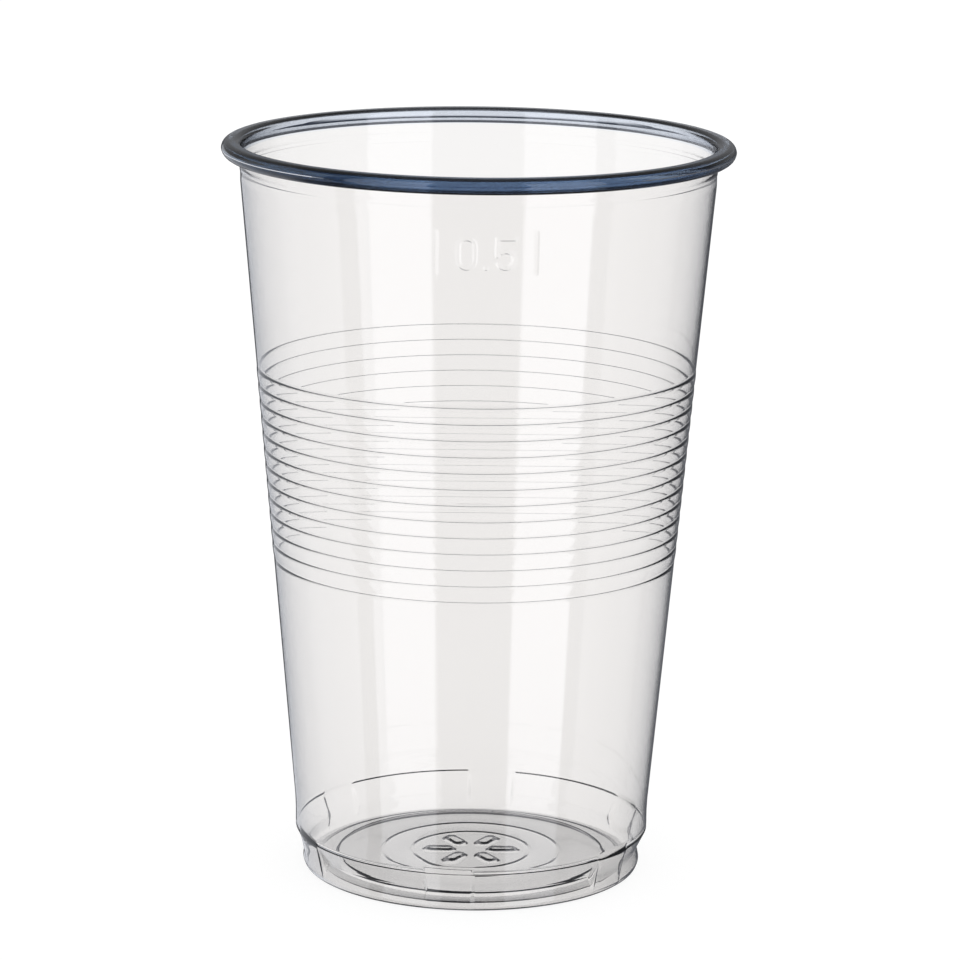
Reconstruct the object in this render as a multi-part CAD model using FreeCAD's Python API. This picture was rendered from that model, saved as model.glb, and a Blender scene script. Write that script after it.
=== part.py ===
import FreeCAD, Part

# A clear disposable drinking cup, formed in one piece from one thin plastic sheet.
# The origin is the middle of the ring that the cup stands on, and +Z runs up the axis.
# Sizes are millimetres, angles are degrees, r is a distance from the axis and z a height.

import math
import os
from FreeCAD import Vector

# The sheet that everything is formed from, which stays thicker in the floor
sheet = 0.35
floor_sheet = 0.55

# A rounding is drawn as short flats, one for about this much of its turn
flat_turn = 30.0

# Overall size and the rolled rim
cup_height = 138.4
rim_r = 47.5
rim_width = 3.52
curl_height = 3.0
curl_round = 1.45
neck_height = 7.4
neck_round = 4.0

# The end of the sheet, tucked up inside the roll
roll_gap = 0.12
tuck_round = 0.6
tuck_reach = 1.2

# The bead moulded round the neck, under the rolled rim
bead_drop = 2.4
bead_height = 1.2
bead_bulge = 0.12

# The grip band: grooves with a soft bulge between each two, measured down from the rim
groove_drop = 42.06
groove_pitch = 3.02
groove_count = 13
groove_bulge = 0.16

# The foot, its recess and the upright band over it, each measured inwards from the band
band_r = 33.45
band_height = 11.8
band_round = 30.0
shoulder_height = 7.4
shoulder_round = 0.3
recess_depth = 1.9
waist_height = 3.6
waist_round = 1.4
foot_inset = 1.4
foot_height = 1.0
foot_round = 0.9
rest_inset = 2.45
rest_width = 1.3
rest_round = 0.5

# The pillars that bridge the recess, so that nested cups don't jam
pillar_count = 6
pillar_angle = 15.5
pillar_turn = 7.0

# The floor: a channel inside the foot, a raised disc and two rings formed in it
channel_rise = 0.45
channel_round = 0.7
channel_inset = 4.65
disc_inset = 7.85
disc_rise = 1.3
disc_slope = 0.5
disc_round = 0.15
riser_round = 0.6
outer_ring_r = 16.8
inner_ring_r = 11.2
ring_width = 1.2
ring_bulge = 0.14

# A plain rosette pressed up in the middle of the floor
petal_count = 6
petal_in_r = 3.2
petal_out_r = 8.8
petal_width = 2.6
petal_rise = 0.45

# The fill mark: the number 0.5 between two upright ticks, raised on the wall
mark_turn = 2.0
mark_drop = 13.7
mark_height = 6.0
mark_rise = 0.2
mark_stroke = 0.7
digit_width = 3.7
digit_pitch = 3.45
dot_r = 0.45
tick_reach = 8.9
tick_width = 0.45
tick_height = 7.4

FULL_TURN = 360.0
UP = Vector(0, 0, 1)
ORIGIN = Vector(0, 0, 0)


def at(r, z):
    """A point of a cross-section, drawn in the XZ plane."""
    return Vector(r, 0, z)


def knot(r, z, round_r=0.0, bulge=0.0, thick=sheet):
    """A corner of the sheet's line: its rounding, how far the run after it bows out, the sheet there."""
    return {"p": at(r, z), "round": round_r, "bulge": bulge, "thick": thick}


def right_of(direction):
    """The unit vector to the right of a direction: outside the cup where the line runs up."""
    return Vector(direction.z, 0, -direction.x).normalize()


def other_side(knots):
    """The line moved to its left by the sheet at each corner: the other side of the sheet."""
    moved = []
    for i, k in enumerate(knots):
        before = knots[max(i - 1, 0)]["p"]
        after = knots[min(i + 1, len(knots) - 1)]["p"]
        into = (k["p"] - before) if i > 0 else (after - k["p"])
        out = (after - k["p"]) if i < len(knots) - 1 else into
        n_in = right_of(into)
        n_out = right_of(out)
        mitre = (n_in + n_out) * (1.0 / (1.0 + n_in.dot(n_out)))
        thick = k["thick"]
        turns_left = into.cross(out).y < 0
        round_r = k["round"] + (-thick if turns_left else thick) if k["round"] else 0.0
        place = k["p"] - mitre * thick
        moved.append(knot(place.x, place.z, round_r, k["bulge"], thick))
    return moved


def points_along(knots):
    """Corner points through the knots: a few short flats round each rounded one, a ridge in a bow."""
    points = [knots[0]["p"]]
    for i in range(1, len(knots)):
        here = knots[i]["p"]
        before = knots[i - 1]["p"]
        if knots[i - 1]["bulge"]:
            outwards = right_of(here - before)
            points.append((before + here) * 0.5 + outwards * knots[i - 1]["bulge"])
        if not knots[i]["round"] or i == len(knots) - 1:
            points.append(here)
            continue
        back = (before - here).normalize()
        on = (knots[i + 1]["p"] - here).normalize()
        half = math.acos(max(-1.0, min(1.0, back.dot(on)))) / 2
        turn = math.pi - 2 * half
        inwards = (back + on).normalize()
        centre = here + inwards * (knots[i]["round"] / math.sin(half))
        flats = max(1, round(math.degrees(turn) / flat_turn))
        for step in range(flats + 1):
            lean = (step / flats - 0.5) * turn
            along = (on - back).normalize()
            spoke = inwards * -math.cos(lean) + along * math.sin(lean)
            points.append(centre + spoke * knots[i]["round"])
    return points


def polygon_face(points):
    """A flat face from corner points."""
    return Part.Face(Part.makePolygon(points + [points[0]]))


def turned(face, angle, start):
    """A face of the cross-section swept about the axis by an angle, from a start angle."""
    body = face.revolve(ORIGIN, UP, angle)
    body.rotate(ORIGIN, UP, start)
    return body


def wall_r(z):
    """Radius of the tapered wall's outside at a height, between the foot band and the neck."""
    share = (z - band_height) / (neck_z - band_height)
    return band_r + share * (neck_r - band_r)


neck_r = rim_r - rim_width
neck_z = cup_height - neck_height
top_groove_z = cup_height - groove_drop
waist_r = band_r - recess_depth
foot_r = band_r - foot_inset
rest_r = band_r - rest_inset
channel_r = band_r - channel_inset
disc_r = band_r - disc_inset


def floor_line():
    """The underside of the floor, from the axis out to the inside of the ring it stands on."""
    half = ring_width / 2
    line = [knot(0, disc_rise, thick=floor_sheet)]
    for ring_r in (inner_ring_r, outer_ring_r):
        line.append(knot(ring_r - half, disc_rise, bulge=-ring_bulge, thick=floor_sheet))
        line.append(knot(ring_r + half, disc_rise, thick=floor_sheet))
    line.append(knot(disc_r - disc_slope, disc_rise, disc_round, thick=floor_sheet))
    line.append(knot(disc_r, channel_rise, riser_round, thick=floor_sheet))
    line.append(knot(channel_r, channel_rise, channel_round))
    line.append(knot(rest_r - rest_width / 2, 0, rest_round))
    return line


def foot_line():
    """The outside of the foot: the standing ring, the recess and the band over it."""
    return [
        knot(rest_r + rest_width / 2, 0, rest_round),
        knot(foot_r, foot_height, foot_round),
        knot(waist_r, waist_height, waist_round),
        knot(band_r, shoulder_height, shoulder_round),
        knot(band_r, band_height, band_round),
    ]


def wall_line():
    """The tapered wall with its grip band: valleys on the taper, a bow between each two."""
    line = []
    for i in range(groove_count - 1, -1, -1):
        z = top_groove_z - i * groove_pitch
        bulge = groove_bulge if i > 0 else 0.0
        line.append(knot(wall_r(z), z, bulge=bulge))
    return line


def rim_line():
    """The upright neck with its bead, then the rim rolled out, down, back and up inside itself."""
    bead_z = cup_height - curl_height - bead_drop
    top = cup_height - sheet
    low = cup_height - curl_height + sheet
    outside = rim_r - sheet
    turn = curl_round - sheet
    tuck_r = neck_r + roll_gap + sheet
    tuck_z = top - roll_gap - sheet
    return [
        knot(neck_r, neck_z, neck_round),
        knot(neck_r, bead_z - bead_height, bulge=bead_bulge),
        knot(neck_r, bead_z),
        knot(neck_r, top, turn),
        knot(outside, top, turn),
        knot(outside, low, turn),
        knot(tuck_r, low, tuck_round),
        knot(tuck_r, tuck_z, tuck_round),
        knot(tuck_r + tuck_reach, tuck_z),
    ]


def sheet_solid():
    """The whole sheet as one turned solid: its outer line, its cut edge and its inner line."""
    line = floor_line() + foot_line() + wall_line() + rim_line()
    outer = points_along(line)
    inner = points_along(other_side(line))
    return turned(polygon_face(outer + inner[::-1]), FULL_TURN, 0)


def pillar_parts():
    """For each pillar, the block that fills the recess there and the pocket that hollows it."""
    top_z = shoulder_height + shoulder_round
    mid = sheet / 2
    clear_r = waist_r - 2 * sheet
    block = polygon_face([
        at(band_r, top_z),
        at(foot_r, foot_height),
        at(foot_r - mid, foot_height),
        at(waist_r - mid, waist_height),
        at(band_r - mid, shoulder_height),
        at(band_r - mid, top_z),
    ])
    pocket = polygon_face([
        at(band_r - sheet, top_z),
        at(foot_r - sheet, foot_height),
        at(clear_r, foot_height),
        at(clear_r, top_z),
    ])
    web_angle = math.degrees(sheet / waist_r)
    # A face of the XZ plane starts at +X, and the pillars are counted clockwise from +Y.
    first = 90 - pillar_turn - pillar_angle / 2
    blocks = []
    pockets = []
    for i in range(pillar_count):
        start = first - i * FULL_TURN / pillar_count
        blocks.append(turned(block, pillar_angle, start))
        pockets.append(turned(pocket, pillar_angle - 2 * web_angle, start + web_angle))
    return blocks, pockets


def petal(in_r, out_r, width, low, high):
    """An upright block with round ends, lying along +X between two radii."""
    half = width / 2
    a = in_r + half
    b = out_r - half
    edges = [
        Part.LineSegment(Vector(a, half, low), Vector(b, half, low)).toShape(),
        Part.Arc(Vector(b, half, low), Vector(out_r, 0, low), Vector(b, -half, low)).toShape(),
        Part.LineSegment(Vector(b, -half, low), Vector(a, -half, low)).toShape(),
        Part.Arc(Vector(a, -half, low), Vector(in_r, 0, low), Vector(a, half, low)).toShape(),
    ]
    return Part.Face(Part.Wire(edges)).extrude(Vector(0, 0, high - low))


def rosette_parts():
    """The petals raised on the floor, and the smaller hollows under them."""
    floor_top = disc_rise + floor_sheet
    raised = []
    hollows = []
    for i in range(petal_count):
        turn = i * FULL_TURN / petal_count
        pad = petal(petal_in_r, petal_out_r, petal_width, disc_rise + floor_sheet / 2, floor_top + petal_rise)
        hollow = petal(petal_in_r + sheet, petal_out_r - sheet, petal_width - 2 * sheet,
                       disc_rise - sheet, disc_rise + petal_rise)
        for shape in (pad, hollow):
            shape.rotate(ORIGIN, UP, turn)
        raised.append(pad)
        hollows.append(hollow)
    return raised, hollows


def bar(x0, x1, z0, z1):
    """A straight stroke of the fill mark, a flat face in the XZ plane."""
    return polygon_face([at(x0, z0), at(x1, z0), at(x1, z1), at(x0, z1)])


def bow(x, z, r, stroke, start, end):
    """A round stroke of the fill mark about a centre, from one angle anticlockwise to another."""
    def spot(radius, angle):
        a = math.radians(angle)
        return at(x + radius * math.cos(a), z + radius * math.sin(a))
    middle = (start + end) / 2
    outside = r + stroke / 2
    inside = r - stroke / 2
    edges = [
        Part.Arc(spot(outside, start), spot(outside, middle), spot(outside, end)).toShape(),
        Part.LineSegment(spot(outside, end), spot(inside, end)).toShape(),
        Part.Arc(spot(inside, end), spot(inside, middle), spot(inside, start)).toShape(),
        Part.LineSegment(spot(inside, start), spot(outside, start)).toShape(),
    ]
    return Part.Face(Part.Wire(edges))


def mark_faces():
    """Flat shapes of the fill mark, seen from the front with +X to the right."""
    low = cup_height - mark_drop - mark_height / 2
    high = low + mark_height
    r = (digit_width - mark_stroke) / 2
    side = mark_stroke / 2
    zero_x = -digit_pitch
    faces = [
        bow(zero_x, high - side - r, r, mark_stroke, 0, 180),
        bow(zero_x, low + side + r, r, mark_stroke, 180, 360),
        bar(zero_x - r - side, zero_x - r + side, low + side + r, high - side - r),
        bar(zero_x + r - side, zero_x + r + side, low + side + r, high - side - r),
    ]
    dot = Part.Circle(at(0, low + dot_r), Vector(0, -1, 0), dot_r).toShape()
    faces.append(Part.Face(Part.Wire(dot)))
    five_x = digit_pitch
    bowl_z = low + side + r
    faces.append(bow(five_x, bowl_z, r, mark_stroke, -150, 120))
    faces.append(bar(five_x - r - side, five_x - r + side, bowl_z + r / 2, high))
    faces.append(bar(five_x - r - side, five_x + r + side, high - mark_stroke, high))
    middle = (low + high) / 2
    for x in (-tick_reach, tick_reach):
        faces.append(bar(x - tick_width / 2, x + tick_width / 2,
                         middle - tick_height / 2, middle + tick_height / 2))
    return faces


def mark_solids():
    """The fill mark's strokes as thin pads that follow the wall."""
    reach = tick_height / 2 + 1
    middle = cup_height - mark_drop
    low = middle - reach
    high = middle + reach
    skin = polygon_face([
        at(wall_r(low) - sheet / 2, low),
        at(wall_r(low) + mark_rise, low),
        at(wall_r(high) + mark_rise, high),
        at(wall_r(high) - sheet / 2, high),
    ])
    skin = turned(skin, FULL_TURN, 0)
    pads = []
    for face in mark_faces():
        stroke = face.extrude(Vector(0, -rim_r, 0))
        for pad in stroke.common(skin).Solids:
            pad.rotate(ORIGIN, UP, mark_turn)
            pads.append(pad)
    return pads


def cup():
    """The finished cup: the turned sheet with its pillars, rosette and fill mark."""
    blocks, pockets = pillar_parts()
    raised, hollows = rosette_parts()
    body = sheet_solid()
    body = body.fuse(blocks + raised + mark_solids())
    body = body.cut(pockets + hollows)
    return body.removeSplitter()


os.makedirs("parts", exist_ok=True)
shape = cup()
print("cup: solids", len(shape.Solids), "valid", shape.isValid(), "volume mm3", round(shape.Volume, 1))
box = shape.BoundBox
print("box", round(box.XMin, 3), round(box.XMax, 3), round(box.ZMin, 4), round(box.ZMax, 3))
shape.exportStep("parts/cup.step")
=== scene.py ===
# %% [markdown]
# A clear disposable cup, formed from one thin sheet.
#
# This lesson dresses one clear plastic drinking cup. The real cup is stamped out of a warm,
# flat sheet: everything on it, from the rolled rim to the foot, is the same sheet bent round.
# So the model is one closed skin: an outside, an inside about a third of a millimetre behind
# it, and the cut edge that joins them. A single surface with a Solidify modifier would be
# shorter to write, but the fine grooves are only in one side and the rolled rim is thicker.

# %% The fixed frame
import math

import bpy
import numpy as np
from mathutils import Matrix, Vector


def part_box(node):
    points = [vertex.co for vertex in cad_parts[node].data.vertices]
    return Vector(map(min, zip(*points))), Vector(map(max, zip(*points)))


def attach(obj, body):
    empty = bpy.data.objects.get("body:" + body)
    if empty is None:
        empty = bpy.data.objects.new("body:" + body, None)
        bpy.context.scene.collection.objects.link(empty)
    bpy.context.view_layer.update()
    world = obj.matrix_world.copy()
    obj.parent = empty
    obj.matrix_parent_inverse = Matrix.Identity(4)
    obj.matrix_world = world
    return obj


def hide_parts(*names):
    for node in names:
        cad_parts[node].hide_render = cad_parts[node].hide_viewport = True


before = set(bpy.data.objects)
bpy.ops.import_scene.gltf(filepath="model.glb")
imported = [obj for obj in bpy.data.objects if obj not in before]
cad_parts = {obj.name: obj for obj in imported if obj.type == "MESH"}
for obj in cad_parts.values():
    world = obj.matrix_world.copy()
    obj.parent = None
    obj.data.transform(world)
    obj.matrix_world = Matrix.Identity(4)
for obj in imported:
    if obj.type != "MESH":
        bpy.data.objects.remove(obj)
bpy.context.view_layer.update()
cup_low, cup_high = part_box("cup")
print("nodes", list(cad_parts))
print("cup from", [round(v, 4) for v in cup_low], "to", [round(v, 4) for v in cup_high])

# %% [markdown]
# The camera looks slightly down on the cup from far away with a long lens, so the mouth is a
# flat ellipse and the sides hardly converge. It could be aimed by a constraint, but a plain
# position and three angles are easier to read and to change. The camera leans a little,
# which is why the cup seems to tip to the right.

# %% The camera
MM = 0.001
CAMERA_BACK = 777.66 * MM
CAMERA_UP = 251.05 * MM
CAMERA_PITCH = math.radians(12.81)
CAMERA_YAW = math.radians(0.068)
CAMERA_ROLL = math.radians(0.688)
LENS = 159.44
SENSOR = 36.0


def camera_axes(pitch, yaw, roll):
    """Right, up and forward of a camera: level and facing +Y, then yawed, pitched down and rolled."""
    flat = math.cos(pitch)
    forward = Vector((math.sin(yaw) * flat, math.cos(yaw) * flat, -math.sin(pitch)))
    level = Vector((math.cos(yaw), -math.sin(yaw), 0.0))
    over = level.cross(forward)
    right = math.cos(roll) * level + math.sin(roll) * over
    up = math.cos(roll) * over - math.sin(roll) * level
    return right, up, forward


def make_camera():
    """The scene's camera, standing in front of the cup at -Y."""
    data = bpy.data.cameras.new("camera")
    data.lens = LENS
    data.sensor_width = SENSOR
    data.clip_start = 0.01
    data.clip_end = 100.0
    camera = bpy.data.objects.new("camera", data)
    right, up, forward = camera_axes(CAMERA_PITCH, CAMERA_YAW, CAMERA_ROLL)
    turn = Matrix((right, up, -forward)).transposed().to_4x4()
    camera.matrix_world = Matrix.Translation((0.0, -CAMERA_BACK, CAMERA_UP)) @ turn
    bpy.context.scene.collection.objects.link(camera)
    bpy.context.scene.camera = camera
    return camera


camera = make_camera()
print("camera at", [round(v, 3) for v in camera.location])

# %% [markdown]
# The sheet's line.
#
# Cut the cup down the middle and one side shows a single bent line. It is written here as
# knots: a radius, a height, how round the corner is, and how far the run after it bows
# outwards. Rounded corners become arcs, bows become parabolas or softer humps, and the rest
# stays straight.
# The same line could be drawn by hand as a curve, but numbers keep every step true.

# %% Sizes of the sheet, in millimetres
cup_height = (cup_high[2] - cup_low[2]) / MM
rim_r = (cup_high[0] - cup_low[0]) / 2 / MM
sheet = 0.35
floor_sheet = 0.55

curl_height = 3.0
curl_round = 1.45
hollow_round = 0.45
curl_wall = 0.6
lip_round = 1.7
roll_gap = 0.12
tuck_round = 0.6
tuck_reach = 1.2
lip_edge_round = 0.1
neck_r = rim_r - 3.52
neck_z = cup_height - 7.4
neck_round = 4.0
bead_z = cup_height - curl_height - 1.5
bead_height = 1.2
bead_bulge = 0.1
bead_land = 0.3

groove_top_z = cup_height - 42.06
groove_pitch = 3.02
groove_count = 13
groove_bulge = 0.1
groove_half = 0.18
groove_ramp = 0.42
groove_depth = 0.14
groove_land = 0.4

band_r = 33.45
band_z = 11.8
band_round = 30.0
shoulder_z = 7.4
shoulder_round = {"out": 0.1, "in": 0.3}
shoulder_gap = 0.02
shoulder_cut = 0.21
shoulder_half = 0.3
waist_r = band_r - 1.9
waist_z = 3.6
waist_round = 1.4
foot_r = band_r - 1.4
foot_z = 1.0
heel_round = 0.9
rest_r = band_r - 2.45
rest_width = 1.3
rest_round = 0.5

channel_z = 0.45
channel_r = band_r - 4.65
channel_round = 0.7
disc_r = band_r - 7.85
disc_z = 1.3
disc_slope = 0.5
disc_round = 0.15
riser_round = {"out": 0.6, "in": 0.25}
ring_radii = (11.2, 16.8)
ring_width = 1.2
ring_bulge = 0.1
mark_z = cup_height - 13.7
mark_half = 4.6

bow_steps = 6
ring_steps = 8
petal_steps = 26
mark_steps = 46


def wall_r(z):
    """Radius of the tapered wall: a straight line from the foot's band up to the neck."""
    return band_r + (z - band_z) / (neck_z - band_z) * (neck_r - band_r)


print("cup", round(cup_height, 2), "mm high,", round(2 * rim_r, 2), "mm across the rim")

# %% Knots of the line, from the middle of the floor out and up to the lip


def knot(r, z, rounding=0.0, bow=0.0, steps=1, band=None, thick=sheet, inside=None, ease=1):
    """One corner of the line. steps divides the run after it; band names the rows from here on.

    thick is the sheet there. inside is the corner's rounding on the other side of the sheet,
    where it isn't the one that keeps the sheet even. An ease of 2 lets a bow start and end flat.
    """
    return {"at": np.array([r, z]), "round": rounding, "bow": bow, "steps": steps, "band": band,
            "thick": thick, "inside": inside, "ease": ease}


def floor_knots():
    """The floor: a raised disc with two rings, its riser, and the channel inside the foot."""
    half = ring_width / 2
    knots = [knot(0, disc_z, steps=petal_steps, band="rosette", thick=floor_sheet)]
    for r in ring_radii:
        knots.append(knot(r - half, disc_z, bow=-ring_bulge, steps=ring_steps, band="floor",
                          thick=floor_sheet, ease=2))
        knots.append(knot(r + half, disc_z, steps=2, thick=floor_sheet))
    knots.append(knot(disc_r - disc_slope, disc_z, disc_round, thick=floor_sheet))
    knots.append(knot(disc_r, channel_z, riser_round["out"], thick=floor_sheet,
                      inside=riser_round["in"]))
    knots.append(knot(channel_r, channel_z, channel_round))
    knots.append(knot(rest_r - rest_width / 2, 0, rest_round))
    knots.append(knot(rest_r + rest_width / 2, 0, rest_round))
    return knots


def foot_knots(side):
    """The foot: a rounded heel, the recess over it, the shoulder's edge line and the upright band.

    The edge line is a fine groove in the outside, just over the shoulder's sharp edge.
    """
    knots = [
        knot(foot_r, foot_z, heel_round, steps=2, band="foot"),
        knot(waist_r, waist_z, waist_round, steps=5),
        knot(band_r, shoulder_z, shoulder_round[side], steps=2),
    ]
    if side == "out":
        line_z = shoulder_z + shoulder_half + shoulder_gap
        knots.append(knot(band_r - shoulder_cut, line_z))
        knots.append(knot(band_r, line_z + shoulder_half))
        knots.append(knot(band_r, line_z + shoulder_half + groove_land))
    return knots + [knot(band_r, band_z, band_round, band="wall")]


def grip_knots(side):
    """The grip band: fine grooves in the inside, and a soft bow between each two on both sides.

    Each groove goes in over a gentle ramp and comes out over a steep one. Only the steep one
    bends light far enough to draw a dark line. A knot stands a little below the lowest groove
    and above the highest one, so that the plain wall is flat right up to them.
    """
    low = groove_top_z - (groove_count - 1) * groove_pitch - groove_ramp - groove_land
    high = groove_top_z + groove_half + groove_land
    knots = [knot(wall_r(low), low)]
    for i in range(groove_count - 1, -1, -1):
        z = groove_top_z - i * groove_pitch
        bow, steps = (groove_bulge, bow_steps) if i else (0.0, 1)
        if side == "out":
            knots.append(knot(wall_r(z), z, bow=bow, steps=steps))
            continue
        knots.append(knot(wall_r(z - groove_ramp), z - groove_ramp))
        knots.append(knot(wall_r(z) + groove_depth, z))
        knots.append(knot(wall_r(z + groove_half), z + groove_half, bow=bow, steps=steps))
    return knots + [knot(wall_r(high), high)]


def mark_knots(side):
    """Two plain places on the wall, with close rows between them outside for the raised number."""
    low, high = mark_z - mark_half, mark_z + mark_half
    steps = mark_steps if side == "out" else 1
    return [knot(wall_r(low), low, steps=steps, band="mark"), knot(wall_r(high), high, band="wall")]


def rim_knots(side):
    """The neck, the bead on its outside, and the rim: rolled out, down, back and up inside itself."""
    top = cup_height - sheet
    low = cup_height - curl_height + sheet
    bow = bead_bulge if side == "out" else 0.0
    tuck_r = neck_r + roll_gap + sheet
    tuck_z = top - roll_gap - sheet
    return [
        knot(neck_r, neck_z, neck_round, band="rim"),
        knot(neck_r, bead_z - bead_height, bow=bow, steps=bow_steps),
        knot(neck_r, bead_z),
        knot(neck_r, bead_z + bead_land),
        knot(neck_r, top, hollow_round, inside=curl_round),
        knot(rim_r - sheet, top, hollow_round, inside=curl_round),
        knot(rim_r - curl_wall, cup_height - curl_height + curl_wall, lip_edge_round,
             thick=curl_wall, inside=lip_round),
        knot(tuck_r, low, tuck_round),
        knot(tuck_r, tuck_z, tuck_round),
        knot(tuck_r + tuck_reach, tuck_z),
    ]


def sheet_line(side):
    """All knots of one side's line, from the axis to the cut edge tucked into the rim."""
    return floor_knots() + foot_knots(side) + grip_knots(side) + mark_knots(side) + rim_knots(side)


print("line of", len(sheet_line("out")), "knots outside,", len(sheet_line("in")), "inside")

# %% From knots to rows
ARC_STEP = math.radians(14.0)
SMALLEST_ROUND = 0.05


def unit(v):
    """The same direction with a length of one."""
    return v / np.hypot(v[0], v[1])


def right_of(step):
    """Unit normal to the right of a step: outside the cup where the line climbs."""
    return unit(np.array([step[1], -step[0]]))


def corner(before, here, after, rounding):
    """Points of one corner: the corner itself, or an arc that touches both runs.

    The arc's centre is on the bisector, at the rounding over the sine of half the corner's
    angle, and its spokes lean from the bisector by up to half of the line's turn.
    """
    if not rounding:
        return here[None]
    back, on = unit(before - here), unit(after - here)
    half = math.acos(np.clip(back @ on, -1, 1)) / 2
    turn = math.pi - 2 * half
    centre = here + unit(back + on) * rounding / math.sin(half)
    count = max(2, math.ceil(turn / ARC_STEP) + 1)
    lean = np.linspace(-0.5, 0.5, count)[:, None] * turn
    spokes = unit(on - back) * np.sin(lean) - unit(back + on) * np.cos(lean)
    return centre + spokes * rounding


def run_between(start, end, bow, steps, ease):
    """Points inside a run: a straight line plus h * (1 - (2u - 1)^2)^ease along its normal."""
    u = np.arange(1, steps)[:, None] / steps
    return start + u * (end - start) + right_of(end - start) * bow * (1 - (2 * u - 1) ** 2) ** ease


def neighbours(places):
    """The places with one more at each end, straight on, so that the ends have two runs as well."""
    return [2 * places[0] - places[1]] + places + [2 * places[-1] - places[-2]]


def other_side(knots):
    """The line moved to its left by the sheet: each knot goes along the mitre of its two normals.

    A rounding grows by the sheet where the line turns right and shrinks where it turns left,
    unless the knot names its own.
    """
    around = neighbours([k["at"] for k in knots])
    moved = []
    for i, k in enumerate(knots):
        into, out = around[i + 1] - around[i], around[i + 2] - around[i + 1]
        n_in, n_out = right_of(into), right_of(out)
        turns_left = into[0] * out[1] - into[1] * out[0] > 0
        change = -k["thick"] if turns_left else k["thick"]
        even = max(k["round"] + change, SMALLEST_ROUND) if k["round"] else 0.0
        place = k["at"] - (n_in + n_out) / (1 + n_in @ n_out) * k["thick"]
        moved.append({**k, "at": place, "round": even if k["inside"] is None else k["inside"]})
    return moved


def trace(knots):
    """All rows of a line, from the axis on, and the name of each row's band."""
    around = neighbours([k["at"] for k in knots])
    corners = [corner(*around[i:i + 3], k["round"]) for i, k in enumerate(knots)]
    points, bands = [], []
    band = None
    for i, k in enumerate(knots):
        band = k["band"] or band
        parts = [corners[i]]
        if i + 1 < len(knots):
            parts.append(run_between(corners[i][-1], corners[i + 1][0], k["bow"], k["steps"], k["ease"]))
        points += parts
        bands += [band] * sum(len(part) for part in parts)
    return np.concatenate(points), np.array(bands)


rows = {"out": trace(sheet_line("out")), "in": trace(other_side(sheet_line("in")))}
print("rows:", {side: len(line) for side, (line, _) in rows.items()})

# %% [markdown]
# Columns and relief.
#
# Turned about the axis, each row becomes a ring of points. Plain rings need few columns, but
# the six pillars in the foot and the raised number need close ones, or their edges would
# blur. So each band has its own list of angles, measured from the front towards +X, and the
# relief is added as small moves of the points. One even grid would waste most of its faces.

# %% Angles of the columns
COLUMNS = 180
PILLARS = 6
PILLAR_FIRST = math.radians(-7.0)
PILLAR_HALF = math.radians(15.5 / 2)
PILLAR_SOFT = math.radians(0.9)
MARK_TURN = math.radians(2.0)
MARK_REACH = math.radians(13.0)
MARK_STEP = math.radians(0.27)
CLOSEST = math.radians(0.02)


def ring_angles(extra):
    """Even angles round the axis with some extra ones between, sorted, from 0 up to a full turn."""
    even = np.arange(COLUMNS) * 2 * math.pi / COLUMNS
    angles = np.sort(np.concatenate([even, np.mod(extra, 2 * math.pi)]))
    keep = np.diff(angles, append=2 * math.pi) > CLOSEST
    return angles[np.concatenate([[True], keep[:-1]])]


pillar_centres = PILLAR_FIRST + np.arange(PILLARS) * 2 * math.pi / PILLARS
edge_steps = np.linspace(-1, 1, 7) * PILLAR_SOFT
both_edges = np.array([-1, 1])[:, None] * PILLAR_HALF
pillar_edges = (pillar_centres[:, None, None] + both_edges + edge_steps).ravel()
mark_columns = MARK_TURN + np.arange(-MARK_REACH, MARK_REACH, MARK_STEP)
plain_angles = ring_angles(np.array([]))
band_angles = {"foot": ring_angles(pillar_edges), "mark": ring_angles(mark_columns)}
print("columns:", len(plain_angles), "plain,", {b: len(a) for b, a in band_angles.items()})

# %% Relief: pillars, number and rosette


def soft_step(value, low, high):
    """Smooth rise from 0 at low to 1 at high: 3t^2 - 2t^3."""
    t = np.clip((value - low) / (high - low), 0, 1)
    return t * t * (3 - 2 * t)


def to_line(x, y, a, b):
    """Distance from points to a straight stroke between a and b."""
    run = np.subtract(b, a)
    along = np.clip(((x - a[0]) * run[0] + (y - a[1]) * run[1]) / (run @ run), 0, 1)
    return np.hypot(x - a[0] - along * run[0], y - a[1] - along * run[1])


def to_bow(x, y, centre, r, start, end):
    """Distance from points to an arc of radius r: across it inside its angles, else to its ends."""
    dx, dy = x - centre[0], y - centre[1]
    angle = np.mod(np.arctan2(dy, dx) - math.radians(start), 2 * math.pi)
    across = np.abs(np.hypot(dx, dy) - r)
    tips = np.radians([start, end])
    ends = [np.hypot(dx - r * math.cos(tip), dy - r * math.sin(tip)) for tip in tips]
    return np.where(angle <= math.radians(end - start), across, np.minimum(*ends))


def pillar_move(z, angle):
    """Outward move that carries the recess out to the straight line between foot and shoulder."""
    line, bands = rows["out"]
    foot = line[bands == "foot"]
    straight = np.interp(z, [foot_z, shoulder_z], [foot_r, band_r])
    depth = np.maximum(straight - np.interp(z, foot[:, 1], foot[:, 0]), 0)
    spread = 2 * math.pi / PILLARS
    away = np.abs(np.mod(angle - PILLAR_FIRST + spread / 2, spread) - spread / 2)
    return depth * soft_step(-away, -PILLAR_HALF - PILLAR_SOFT, -PILLAR_HALF + PILLAR_SOFT)


mark_height, digit_width, digit_gap, stroke = 6.0, 3.7, 3.45, 0.7
mark_rise, mark_soft = 0.16, 0.19
tick_x, tick_half, tick_stroke = 8.9, 3.7, 0.45
dot_r = 0.45


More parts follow.
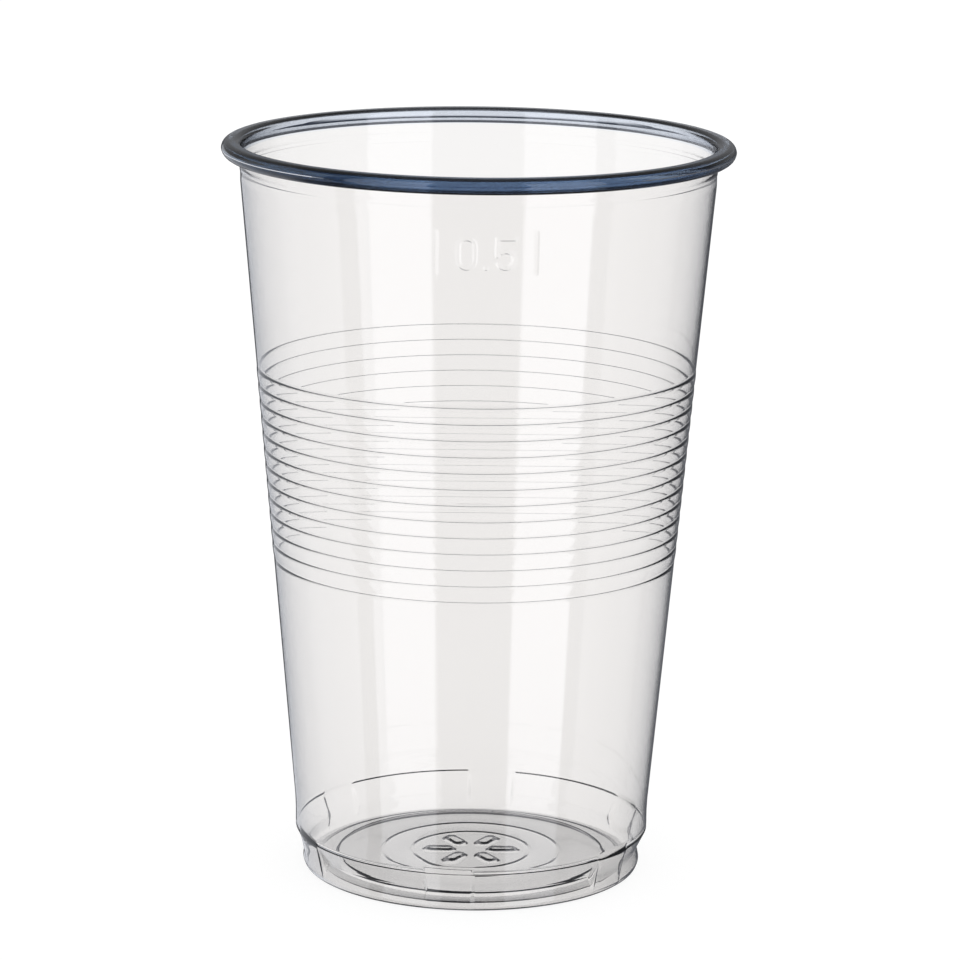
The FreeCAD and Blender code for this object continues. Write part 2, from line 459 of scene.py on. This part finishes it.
def mark_move(x, z):
    """Outward move of the number 0.5 and its two ticks, from the distance to the nearest stroke."""
    z = z - mark_z
    bowl = (digit_width - stroke) / 2
    low, high = -mark_height / 2, mark_height / 2
    turn_z = high - stroke / 2 - bowl
    zero = np.abs(to_line(x, z, (-digit_gap, -turn_z), (-digit_gap, turn_z)) - bowl)
    five = np.minimum.reduce([
        to_bow(x, z, (digit_gap, -turn_z), bowl, -150, 120),
        to_line(x, z, (digit_gap - bowl, -turn_z + bowl / 2), (digit_gap - bowl, high - stroke / 2)),
        to_line(x, z, (digit_gap - bowl, high - stroke / 2), (digit_gap + bowl, high - stroke / 2)),
    ])
    dot = np.hypot(x, z - low - dot_r) + stroke / 2 - dot_r
    ticks = to_line(np.abs(x), z, (tick_x, -tick_half), (tick_x, tick_half)) + (stroke - tick_stroke) / 2
    nearest = np.minimum.reduce([zero, five, dot, ticks]) - stroke / 2
    return mark_rise * soft_step(-nearest, -mark_soft, mark_soft)


PETALS, petal_in, petal_out, petal_width, petal_rise, petal_soft = 6, 3.2, 8.8, 2.6, 0.45, 0.35


def petal_move(r, angle):
    """Upward move of six round-ended petals about the middle of the floor."""
    spread = 2 * math.pi / PETALS
    turn = np.mod(angle - math.pi / 2 + spread / 2, spread) - spread / 2
    half = petal_width / 2
    start, end = (petal_in + half, 0), (petal_out - half, 0)
    away = to_line(r * np.cos(turn), r * np.sin(turn), start, end) - half
    return petal_rise * soft_step(-away, -petal_soft, petal_soft)


# %% Rings of points


def ring(side, index):
    """One ring of the skin: a row turned about the axis, moved by the relief of its band."""
    line, bands = rows[side]
    (r, z), band = line[index], bands[index]
    marked = band == "mark" and side == "out"
    angle = band_angles[band] if marked or band == "foot" else plain_angles
    if band == "foot":
        r = r + pillar_move(z, angle)
    if band == "rosette":
        z = z + petal_move(r, angle)
    if marked:
        r = r + np.where(np.cos(angle) > 0, mark_move(r * np.sin(angle - MARK_TURN), z), 0)
    return angle, np.stack([r * np.sin(angle), -r * np.cos(angle), z + 0 * angle], axis=1)


def zip_rings(a, b, start_a, start_b):
    """Triangles between two rings whose angles differ, made by walking both rings at once.

    Each step along the first ring makes a triangle with the point reached on the second, and
    the other way round. searchsorted finds, for all steps together, which point that is.
    """
    full = 2 * math.pi
    a_to, b_to = np.append(a, full), np.append(b, full)
    i, j = np.arange(len(a)), np.arange(len(b))
    facing_b = (np.searchsorted(b_to, a_to[1:], side="left") - 1) % len(b)
    facing_a = (np.searchsorted(a_to, b_to[1:], side="right") - 1) % len(a)
    along_a = np.stack([start_a + i, start_a + (i + 1) % len(a), start_b + facing_b], axis=1)
    along_b = np.stack([start_a + facing_a, start_b + (j + 1) % len(b), start_b + j], axis=1)
    parts = []
    if len(a) > 1:
        parts.append(along_a)
    if len(b) > 1:
        parts.append(along_b)
    return np.concatenate(parts)


def skin():
    """The closed skin: rings up the outside, over the lip and down the inside.

    A single point closes each end, one under the floor and one on it.
    """
    pole = np.array([0.0])
    rings = [(pole, np.array([[0, 0, disc_z]]))]
    rings += [ring("out", i) for i in range(1, len(rows["out"][0]))]
    rings += [ring("in", i) for i in range(len(rows["in"][0]) - 1, 0, -1)]
    rings.append((pole, np.array([[0, 0, disc_z + floor_sheet]])))
    starts = np.cumsum([0] + [len(angle) for angle, _ in rings])
    triangles = []
    for i in range(len(rings) - 1):
        triangles.append(zip_rings(rings[i][0], rings[i + 1][0], starts[i], starts[i + 1]))
    return np.concatenate([p for _, p in rings]) * MM, np.concatenate(triangles)


points, triangles = skin()
print("skin:", len(points), "points,", len(triangles), "triangles")

# %% The mesh
SHARP_EDGE = math.radians(50)


def mesh_object(name, points, triangles):
    """A smooth mesh object at the origin, from arrays of points and triangles."""
    mesh = bpy.data.meshes.new(name)
    mesh.vertices.add(len(points))
    mesh.vertices.foreach_set("co", points.astype(np.float32).ravel())
    mesh.loops.add(triangles.size)
    mesh.loops.foreach_set("vertex_index", triangles.astype(np.int32).ravel())
    mesh.polygons.add(len(triangles))
    mesh.polygons.foreach_set("loop_start", np.arange(len(triangles), dtype=np.int32) * 3)
    mesh.update(calc_edges=True)
    mesh.shade_smooth()
    mesh.set_sharp_from_angle(angle=SHARP_EDGE)
    made = bpy.data.objects.new(name, mesh)
    bpy.context.scene.collection.objects.link(made)
    return made


cup = mesh_object("cup_sheet", points, triangles)
edges = np.sort(triangles[:, [0, 1, 1, 2, 2, 0]].reshape(-1, 2), axis=1)
edge_uses = np.unique(edges, axis=0, return_counts=True)[1]
corners_xyz = points[triangles]
volume = np.einsum("ij,ij->", corners_xyz[:, 0], np.cross(corners_xyz[:, 1], corners_xyz[:, 2])) / 6
print("closed:", bool((edge_uses == 2).all()), "volume", round(volume * 1e6, 2), "cm3")

# %% [markdown]
# Clear plastic.
#
# The cup shows mostly what is behind it. What gives it away is the gloss, a little light lost
# in each wall, and the faint waves that the sheet got as it was stretched. Mixing a
# transparent shader with a glossy one would be quick, but the rim and the foot need real
# bending of light, so this is a full transmission shader on a skin with a true thickness.

# %% Helpers for shader nodes


def add(tree, kind, **settings):
    """A node with its properties set."""
    node = tree.nodes.new(kind)
    for key, value in settings.items():
        setattr(node, key, value)
    return node


def math_node(tree, operation, a, b=None):
    """A Math node fed by sockets or plain numbers; returns its output."""
    node = add(tree, "ShaderNodeMath", operation=operation)
    for socket, value in zip(node.inputs, (a, b)):
        if isinstance(value, bpy.types.NodeSocket):
            tree.links.new(value, socket)
        elif value is not None:
            socket.default_value = value
    return node.outputs[0]


def ramp_between(tree, value, low, high):
    """Smooth rise from 0 to 1 while a value goes from low to high."""
    node = add(tree, "ShaderNodeMapRange", interpolation_type="SMOOTHSTEP")
    tree.links.new(value, node.inputs["Value"])
    node.inputs["From Min"].default_value = low
    node.inputs["From Max"].default_value = high
    return node.outputs["Result"]


def mix_colour(tree, factor, a, b):
    """Blend from colour a to colour b; both may be sockets or plain colours."""
    node = add(tree, "ShaderNodeMix", data_type="RGBA")
    sockets = (node.inputs["Factor"], node.inputs["A"], node.inputs["B"])
    for socket, value in zip(sockets, (factor, a, b)):
        if isinstance(value, bpy.types.NodeSocket):
            tree.links.new(value, socket)
        else:
            socket.default_value = value
    return node.outputs["Result"]


def new_group(name, inputs, outputs):
    """A shader node group with named inputs (name, type, value) and outputs (name, type)."""
    group = bpy.data.node_groups.new(name, "ShaderNodeTree")
    for label, kind, value in inputs:
        socket = group.interface.new_socket(label, in_out="INPUT", socket_type=kind)
        socket.default_value = value
    for label, kind in outputs:
        group.interface.new_socket(label, in_out="OUTPUT", socket_type=kind)
    return group, group.nodes.new("NodeGroupInput"), group.nodes.new("NodeGroupOutput")


def place_group(tree, group, **values):
    """A group placed in a material, with its own values for the named inputs."""
    node = add(tree, "ShaderNodeGroup", node_tree=group)
    for label, value in values.items():
        node.inputs[label.replace("_", " ")].default_value = value
    return node


print("helpers ready")

# %% Waves of the stretched sheet
WAVE_DETAIL = 1.5
WAVE_MASK = (0.35, 0.7)


def stretch_waves():
    """Group: a height and a mask of long soft waves that run up the wall, as the sheet was drawn."""
    group, given, result = new_group(
        "stretch_waves",
        [("Scale", "NodeSocketFloat", 40.0), ("Stretch", "NodeSocketFloat", 0.3)],
        [("Height", "NodeSocketFloat"), ("Mask", "NodeSocketFloat")],
    )
    place = add(group, "ShaderNodeTexCoord").outputs["Object"]
    parts = add(group, "ShaderNodeSeparateXYZ")
    group.links.new(place, parts.inputs[0])
    joined = add(group, "ShaderNodeCombineXYZ")
    group.links.new(parts.outputs["X"], joined.inputs["X"])
    group.links.new(parts.outputs["Y"], joined.inputs["Y"])
    squeezed = math_node(group, "MULTIPLY", parts.outputs["Z"], given.outputs["Stretch"])
    group.links.new(squeezed, joined.inputs["Z"])
    noise = add(group, "ShaderNodeTexNoise")
    noise.inputs["Detail"].default_value = WAVE_DETAIL
    group.links.new(joined.outputs[0], noise.inputs["Vector"])
    group.links.new(given.outputs["Scale"], noise.inputs["Scale"])
    group.links.new(noise.outputs["Fac"], result.inputs["Height"])
    mask = ramp_between(group, noise.outputs["Fac"], *WAVE_MASK)
    group.links.new(mask, result.inputs["Mask"])
    return group


def painted_rim_reflection():
    """Group: the wall's own faint colour, and a painted reflection on the rolled rim.

    The thin wall is clear. On the rim, the bluish cast of the surroundings is painted into the colour by
    position: bluish in the front half of the rolled rim, deepest on the rim's left, and faint at its
    back.
    """
    colours = ("Wall Colour", "Rim Colour", "Side Colour", "Back Colour")
    lengths = ("Rim From", "Rim To", "Fade", "Side From", "Side To")
    group, given, result = new_group(
        "painted_rim_reflection",
        [(label, "NodeSocketColor", (1, 1, 1, 1)) for label in colours]
        + [(label, "NodeSocketFloat", 0.0) for label in lengths],
        [("Colour", "NodeSocketColor")],
    )
    place = add(group, "ShaderNodeTexCoord").outputs["Object"]
    parts = add(group, "ShaderNodeSeparateXYZ")
    group.links.new(place, parts.inputs[0])
    rise = add(group, "ShaderNodeMapRange", interpolation_type="SMOOTHSTEP")
    group.links.new(parts.outputs["Z"], rise.inputs["Value"])
    group.links.new(given.outputs["Rim From"], rise.inputs["From Min"])
    group.links.new(given.outputs["Rim To"], rise.inputs["From Max"])
    front = add(group, "ShaderNodeMapRange", interpolation_type="SMOOTHSTEP")
    group.links.new(parts.outputs["Y"], front.inputs["Value"])
    group.links.new(given.outputs["Fade"], front.inputs["From Min"])
    far = math_node(group, "MULTIPLY", given.outputs["Fade"], -1.0)
    group.links.new(far, front.inputs["From Max"])
    left = add(group, "ShaderNodeMapRange", interpolation_type="SMOOTHSTEP")
    group.links.new(parts.outputs["X"], left.inputs["Value"])
    group.links.new(given.outputs["Side From"], left.inputs["From Min"])
    group.links.new(given.outputs["Side To"], left.inputs["From Max"])
    near = mix_colour(group, left.outputs["Result"], given.outputs["Rim Colour"],
                      given.outputs["Side Colour"])
    rolled = mix_colour(group, front.outputs["Result"], given.outputs["Back Colour"], near)
    colour = mix_colour(group, rise.outputs["Result"], given.outputs["Wall Colour"], rolled)
    group.links.new(colour, result.inputs["Colour"])
    return group


waves_group = stretch_waves()
painted_rim_group = painted_rim_reflection()
print("groups:", [g.name for g in bpy.data.node_groups])

# %% The clear plastic
WALL_COLOUR = (0.99, 0.979, 0.97, 1)
# The three rim colours below are a painted reflection. They give the bluish cast that the surroundings
# lend the rolled rim, painted in by position: strongest at the front left and faint at the back.
PAINTED_RIM_REFLECTION = (0.46, 0.54, 0.65, 1)
PAINTED_RIM_LEFT_REFLECTION = (0.2, 0.28, 0.38, 1)
PAINTED_RIM_BACK_REFLECTION = (0.92, 0.94, 0.972, 1)
SIDE_FROM = -8 * MM
SIDE_TO = -34 * MM
RIM_FROM = (cup_height - curl_height - 0.3) * MM
RIM_TO = (cup_height - curl_height + 0.2) * MM
RIM_FADE = 26 * MM
PLASTIC_IOR = 1.5
WAVE_SCALE = 45.0
WAVE_STRETCH = 0.3
WAVE_STRENGTH = 0.25
WAVE_DISTANCE = 0.4 * MM
ROUGHEST = 0.03


def clear_plastic():
    """Glossy clear plastic: full transmission, faint waves in its gloss, and a painted bluish reflection
    on the rolled rim.
    """
    material = bpy.data.materials.new("clear_plastic")
    material.use_nodes = True
    tree = material.node_tree
    shader = tree.nodes["Principled BSDF"]
    shader.inputs["Transmission Weight"].default_value = 1.0
    shader.inputs["IOR"].default_value = PLASTIC_IOR
    waves = place_group(tree, waves_group, Scale=WAVE_SCALE, Stretch=WAVE_STRETCH)
    # The rolled rim's painted reflection goes into the base colour here.
    painted_rim = place_group(tree, painted_rim_group, Wall_Colour=WALL_COLOUR, Rim_Colour=PAINTED_RIM_REFLECTION,
                       Side_Colour=PAINTED_RIM_LEFT_REFLECTION, Back_Colour=PAINTED_RIM_BACK_REFLECTION, Rim_From=RIM_FROM,
                       Rim_To=RIM_TO, Fade=RIM_FADE, Side_From=SIDE_FROM, Side_To=SIDE_TO)
    tree.links.new(painted_rim.outputs["Colour"], shader.inputs["Base Color"])
    rough = add(tree, "ShaderNodeMapRange")
    tree.links.new(waves.outputs["Mask"], rough.inputs["Value"])
    rough.inputs["To Min"].default_value = 0.0
    rough.inputs["To Max"].default_value = ROUGHEST
    tree.links.new(rough.outputs["Result"], shader.inputs["Roughness"])
    bump = add(tree, "ShaderNodeBump")
    bump.inputs["Strength"].default_value = WAVE_STRENGTH
    bump.inputs["Distance"].default_value = WAVE_DISTANCE
    tree.links.new(waves.outputs["Height"], bump.inputs["Height"])
    tree.links.new(bump.outputs["Normal"], shader.inputs["Normal"])
    return material


cup.data.materials.append(clear_plastic())
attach(cup, "root")
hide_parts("cup")
print("cup dressed in", cup.data.materials[0].name)

# %% [markdown]
# The studio.
#
# Clear plastic has no look of its own, so the surroundings make the picture. The cup stands
# on a white table against white. In its gloss it mirrors a dim room with two tall soft boxes,
# which give the bright upright bands, and a weaker third one behind on the left. All of it is
# in the world's shader, sorted by how a ray got there, because lamps would have to stand in
# the table to reach as low as the bands do. Rays that a groove or the rim bends upwards see a
# dark sky, and so the grooves and the rim's edges come out as dark lines.

# %% The world
WHITE = (1, 1, 1, 1)
DUSK = (0.012, 0.02, 0.035, 1)
ROOM = (0.13, 0.135, 0.15, 1)
BOX_LIGHT = (1.0, 1.03, 1.1, 1)
BOXES = ((23, 58), (-61, -23), (-165, -72))
BOX_EDGE = 1.0
BOX_TOP = 48
BOX_FADE = 8
FILL = 0.6
SKY_FROM = -3
SKY_TO = 5
BACK_LIGHT = (0.26, 0.265, 0.28, 1)
BACK_FROM = 120
BACK_TO = 140
BACK_RISE = 4


def soft_box(tree, azimuth, elevation, start, end):
    """Mask of a tall soft box between two azimuths, measured from the front towards +X."""
    edge = math.radians(BOX_EDGE)
    left = ramp_between(tree, azimuth, math.radians(start) - edge, math.radians(start) + edge)
    right = ramp_between(tree, azimuth, math.radians(end) + edge, math.radians(end) - edge)
    rise = math_node(tree, "ABSOLUTE", elevation)
    height = ramp_between(tree, rise, math.radians(BOX_TOP), math.radians(BOX_TOP - BOX_FADE))
    return math_node(tree, "MULTIPLY", math_node(tree, "MULTIPLY", left, right), height)


def make_world():
    """White for the eye, a dim room for mirrored rays, and a sky for those that passed through.

    The sky is white below the horizon and falls to dusk above it. Mirrored rays that go up
    behind the cup meet a low light of their own, which keeps the floor from turning black.
    """
    world = bpy.data.worlds.new("studio")
    world.use_nodes = True
    tree = world.node_tree
    background = tree.nodes["Background"]
    way = add(tree, "ShaderNodeTexCoord").outputs["Generated"]
    parts = add(tree, "ShaderNodeSeparateXYZ")
    tree.links.new(way, parts.inputs[0])
    ahead = math_node(tree, "MULTIPLY", parts.outputs["Y"], -1.0)
    azimuth = math_node(tree, "ARCTAN2", parts.outputs["X"], ahead)
    elevation = math_node(tree, "ARCSINE", parts.outputs["Z"])
    path = add(tree, "ShaderNodeLightPath").outputs
    boxes = [soft_box(tree, azimuth, elevation, start, end) for start, end in BOXES]
    pair = math_node(tree, "MAXIMUM", boxes[0], boxes[1])
    lit = math_node(tree, "MAXIMUM", pair, math_node(tree, "MULTIPLY", boxes[2], FILL))
    room = mix_colour(tree, lit, ROOM, BOX_LIGHT)
    turn = math_node(tree, "ABSOLUTE", azimuth)
    behind = ramp_between(tree, turn, math.radians(BACK_FROM), math.radians(BACK_TO))
    over = ramp_between(tree, elevation, 0.0, math.radians(BACK_RISE))
    room = mix_colour(tree, math_node(tree, "MULTIPLY", behind, over), room, BACK_LIGHT)
    above = ramp_between(tree, elevation, math.radians(SKY_FROM), math.radians(SKY_TO))
    through = mix_colour(tree, above, WHITE, DUSK)
    mirrored = math_node(tree, "GREATER_THAN", path["Glossy Depth"], 0.5)
    seen = mix_colour(tree, mirrored, through, room)
    plain = math_node(tree, "MAXIMUM", path["Is Camera Ray"], path["Is Diffuse Ray"])
    tree.links.new(mix_colour(tree, plain, seen, WHITE), background.inputs["Color"])
    bpy.context.scene.world = world


make_world()
print("world with", len(BOXES), "soft boxes")

# %% The white table
TABLE_HALF = 6.0
TABLE_DROP = 0.1 * MM
TABLE_GLOW = 0.8
TABLE_EXTRA = 0.06
TABLE_COLOUR = (0.2, 0.2, 0.2, 1)


def white_table():
    """A plain white floor: part glow, part diffuse so that it keeps a shadow.

    It glows a little more for the eye, and mirrored rays pass it.
    """
    corners = np.array([[-1, -1, 0], [1, -1, 0], [1, 1, 0], [-1, 1, 0]]) * TABLE_HALF
    corners[:, 2] = -TABLE_DROP
    table = mesh_object("table", corners, np.array([[0, 1, 2], [0, 2, 3]]))
    material = bpy.data.materials.new("white_table")
    material.use_nodes = True
    tree = material.node_tree
    tree.nodes.remove(tree.nodes["Principled BSDF"])
    matt = add(tree, "ShaderNodeBsdfDiffuse")
    matt.inputs["Color"].default_value = TABLE_COLOUR
    glow = add(tree, "ShaderNodeEmission")
    path = add(tree, "ShaderNodeLightPath").outputs
    extra = math_node(tree, "MULTIPLY", path["Is Camera Ray"], TABLE_EXTRA)
    tree.links.new(math_node(tree, "ADD", extra, TABLE_GLOW), glow.inputs["Strength"])
    both = add(tree, "ShaderNodeAddShader")
    tree.links.new(matt.outputs[0], both.inputs[0])
    tree.links.new(glow.outputs[0], both.inputs[1])
    clear = add(tree, "ShaderNodeBsdfTransparent")
    pick = add(tree, "ShaderNodeMixShader")
    tree.links.new(math_node(tree, "GREATER_THAN", path["Glossy Depth"], 0.5), pick.inputs[0])
    tree.links.new(both.outputs[0], pick.inputs[1])
    tree.links.new(clear.outputs[0], pick.inputs[2])
    tree.links.new(pick.outputs[0], tree.nodes["Material Output"].inputs["Surface"])
    table.data.materials.append(material)


white_table()
bpy.context.scene.view_settings.view_transform = "Standard"
print("table", 2 * TABLE_HALF, "m wide")
